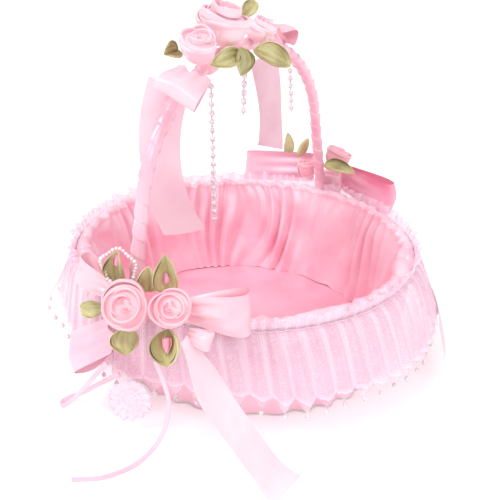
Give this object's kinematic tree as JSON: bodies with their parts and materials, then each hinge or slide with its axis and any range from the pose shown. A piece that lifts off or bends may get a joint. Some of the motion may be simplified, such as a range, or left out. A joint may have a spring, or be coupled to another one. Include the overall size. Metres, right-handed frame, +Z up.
{
  "type": "flower girl basket",
  "caption": "Round satin-lined basket with gathered lace skirts, ribbon-wrapped hoop handle, ribbon roses, bows and hanging pearl strands.",
  "frame": {"origin": "middle of the flat underside of the bowl, on the table", "axes": "+Z up; the hoop handle spans Y, with the larger flower cluster at its -Y end; X runs across the handle"},
  "size_m": [0.2896, 0.3315, 0.2483],
  "materials": {
    "lining_satin": "satin weave, gathered",
    "skirt_satin": "satin weave",
    "ribbon_satin": "glossy satin ribbon",
    "rose_satin": "glossy satin ribbon, rolled",
    "leaf_satin": "satin ribbon",
    "organza": "sheer organza",
    "lace": "raschel lace",
    "pearl": "pearlescent",
    "thread": "matt thread",
    "paperboard": "raw board",
    "felt": "matt felt",
    "wire": "drawn wire",
    "cane": "raw cane"
  },
  "bodies": {
    "basket": {"base_board": "paperboard", "base_felt": "felt", "bow_back_knot": "ribbon_satin", "bow_back_loop_left": "ribbon_satin", "bow_back_loop_right": "ribbon_satin", "bow_front_lobe": "ribbon_satin", "bow_front_loop_left": "ribbon_satin", "bow_front_loop_right": "ribbon_satin", "bow_front_loop_small": "ribbon_satin", "bow_top_knot": "ribbon_satin", "bow_top_loop_left": "ribbon_satin", "bow_top_loop_right": "ribbon_satin", "floor_pad": "lining_satin", "handle_core": "cane", "handle_ties": "thread", "handle_wrap": "ribbon_satin", "hem_pearls": "pearl", "lace_header": "lace", "lace_skirt": "lace", "leaf_back_a": "leaf_satin", "leaf_back_b": "leaf_satin", "leaf_back_c": "leaf_satin", "leaf_front_folded": "leaf_satin", "leaf_front_left": "leaf_satin", "leaf_front_low": "leaf_satin", "leaf_front_mid": "leaf_satin", "leaf_front_ringed": "leaf_satin", "leaf_front_tall": "leaf_satin", "leaf_top_back": "leaf_satin", "leaf_top_front_a": "leaf_satin", "leaf_top_front_b": "leaf_satin", "leaf_top_left": "leaf_satin", "leaf_top_right": "leaf_satin", "organza_skirt": "organza", "ribbon_front_long": "ribbon_satin", "ribbon_front_loop": "ribbon_satin", "rim_wire": "wire", "rose_back_left": "rose_satin", "rose_back_right": "rose_satin", "rose_front_large": "rose_satin", "rose_front_small": "rose_satin", "rose_top_large": "rose_satin", "rose_top_left": "rose_satin", "rose_top_right": "rose_satin", "satin_underskirt": "skirt_satin", "seed_pearl_ring": "pearl", "side_wall": "paperboard", "tail_back_wide": "ribbon_satin", "tail_front_wide": "ribbon_satin", "wall_lining": "lining_satin"},
    "tail_top_left": {"tail_top_left": "ribbon_satin"},
    "tail_top_right": {"tail_top_right": "ribbon_satin"},
    "strand_left": {"strand_left_pearls": "pearl", "strand_left_thread": "thread"},
    "strand_mid_a": {"strand_mid_a_pearls": "pearl", "strand_mid_a_thread": "thread"},
    "strand_mid_b": {"strand_mid_b_pearls": "pearl", "strand_mid_b_thread": "thread"},
    "strand_right": {"strand_right_pearls": "pearl", "strand_right_thread": "thread"}
  },
  "joints": [
    {"name": "swing_tail_left", "type": "hinge", "parent": "basket", "child": "tail_top_left", "pos_m": [-0.0105, -0.0673, 0.1955], "axis": [0.8412, 0.5407, 0], "range_deg": [-3, 12]},
    {"name": "swing_tail_right", "type": "hinge", "parent": "basket", "child": "tail_top_right", "pos_m": [-0.002, 0.034, 0.1935], "axis": [0.2, 0.9798, 0], "range_deg": [-15, 15]},
    {"name": "swing_strand_left", "type": "hinge", "parent": "basket", "child": "strand_left", "pos_m": [0, -0.036, 0.203], "axis": [0, 1, 0], "range_deg": [-14, 14]},
    {"name": "swing_strand_mid_a", "type": "hinge", "parent": "basket", "child": "strand_mid_a", "pos_m": [0.0015, 0, 0.2085], "axis": [0, 1, 0], "range_deg": [-12, 12]},
    {"name": "swing_strand_mid_b", "type": "hinge", "parent": "basket", "child": "strand_mid_b", "pos_m": [-0.0015, 0.0046, 0.2085], "axis": [0, 1, 0], "range_deg": [-12, 12]},
    {"name": "swing_strand_right", "type": "hinge", "parent": "basket", "child": "strand_right", "pos_m": [0, 0.0615, 0.195], "axis": [0, 1, 0], "range_deg": [-25, 25]}
  ]
}
